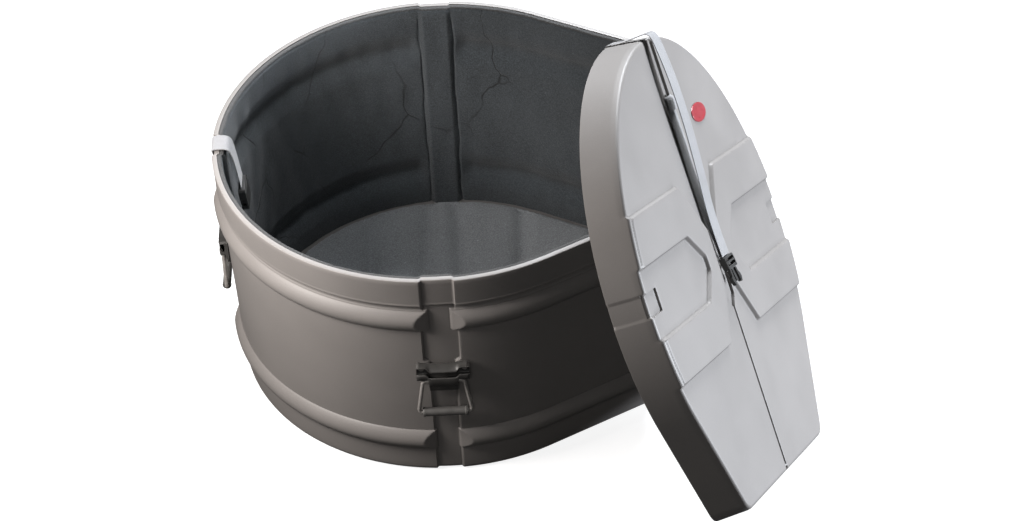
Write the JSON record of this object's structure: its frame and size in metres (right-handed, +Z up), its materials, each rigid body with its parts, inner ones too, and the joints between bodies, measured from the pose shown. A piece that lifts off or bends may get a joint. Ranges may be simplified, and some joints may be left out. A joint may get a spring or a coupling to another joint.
{
  "type": "padded drum case",
  "caption": "D-shaped moulded drum case: open padded tub with bail handles, and a lid with a webbing strap leaning beside it.",
  "frame": {"origin": "centre of the round end's circle, on the tub's flat underside", "axes": "+Z up through the tub's mouth, -X towards the round end, +X towards the flat end where the lid leans, -Y towards the side with the lid's foot"},
  "size_m": [1.0197, 1.1104, 0.7668],
  "materials": {
    "shell_plastic": "fine pebbled rotomoulded polyethylene",
    "lining_fabric": "brushed foam-backed fabric",
    "pad_fabric": "brushed foam-backed fabric",
    "hardware_plastic": "satin moulded nylon",
    "hardware_steel": "dull plated steel",
    "grip_rubber": "matte",
    "strap_webbing": "woven polyester webbing",
    "badge_red": "smooth, unmarked"
  },
  "bodies": {
    "tub": {"body_shell": "shell_plastic", "body_wall_lining": "lining_fabric", "body_floor_pad": "pad_fabric", "handle_front_bracket": "hardware_plastic", "handle_front_rivet_1": "hardware_steel", "handle_front_rivet_2": "hardware_steel", "handle_back_bracket": "hardware_plastic", "handle_back_rivet_1": "hardware_steel", "handle_back_rivet_2": "hardware_steel", "handle_end_bracket": "hardware_plastic", "handle_end_rivet_1": "hardware_steel", "handle_end_rivet_2": "hardware_steel", "short_strap_anchor_end": "strap_webbing", "short_strap_anchor_plate": "hardware_steel", "short_strap_rivet": "hardware_steel"},
    "lid": {"lid_shell": "shell_plastic", "lid_face_pad": "lining_fabric", "lid_badge": "badge_red", "lid_strap_anchor_end": "strap_webbing", "lid_strap_anchor_plate": "hardware_steel", "lid_strap_rivet": "hardware_steel"},
    "lid_strap": {"lid_strap_web": "strap_webbing", "lid_strap_tail": "strap_webbing", "buckle_male_body": "hardware_plastic"},
    "prong_left": {"buckle_prong_left": "hardware_plastic"},
    "prong_right": {"buckle_prong_right": "hardware_plastic"},
    "short_strap": {"short_strap_web": "strap_webbing", "buckle_female_body": "hardware_plastic"},
    "bail_front": {"handle_front_bail": "hardware_steel", "handle_front_grip": "grip_rubber"},
    "bail_back": {"handle_back_bail": "hardware_steel", "handle_back_grip": "grip_rubber"},
    "bail_end": {"handle_end_bail": "hardware_steel", "handle_end_grip": "grip_rubber"}
  },
  "joints": [
    {"name": "lid_tip", "type": "hinge", "parent": "tub", "child": "lid", "pos_m": [0.6283, -0.3395, 0.02932], "axis": [0.1547, 0.988, 0], "range_deg": [0, 113.9]},
    {"name": "lid_strap_swing", "type": "hinge", "parent": "lid", "child": "lid_strap", "pos_m": [0.35791, -0.12135, 0.73372], "axis": [-0.3332, -0.8262, 0.4544], "range_deg": [0, 90]},
    {"name": "prong_left_squeeze", "type": "hinge", "parent": "lid_strap", "child": "prong_left", "pos_m": [0.48248, -0.33443, 0.40679], "axis": [-0.8568, 0.0642, -0.5116], "range_deg": [0, 8]},
    {"name": "prong_right_squeeze", "type": "hinge", "parent": "lid_strap", "child": "prong_right", "pos_m": [0.47315, -0.35757, 0.41951], "axis": [-0.8568, 0.0642, -0.5116], "range_deg": [-8, 0]},
    {"name": "short_strap_flip", "type": "hinge", "parent": "tub", "child": "short_strap", "pos_m": [-0.38, 0, 0.4465], "axis": [0, -1, 0], "range_deg": [0, 150]},
    {"name": "handle_front_swing", "type": "hinge", "parent": "tub", "child": "bail_front", "pos_m": [0, -0.3806, 0.228], "axis": [-1, 0, 0], "range_deg": [0, 95]},
    {"name": "handle_back_swing", "type": "hinge", "parent": "tub", "child": "bail_back", "pos_m": [0, 0.3806, 0.228], "axis": [1, 0, 0], "range_deg": [0, 95]},
    {"name": "handle_end_swing", "type": "hinge", "parent": "tub", "child": "bail_end", "pos_m": [-0.3806, 0, 0.228], "axis": [0, 1, 0], "range_deg": [0, 95]}
  ],
  "couplings": [
    {"joint": "prong_right_squeeze", "follows": "prong_left_squeeze", "ratio": -1}
  ]
}
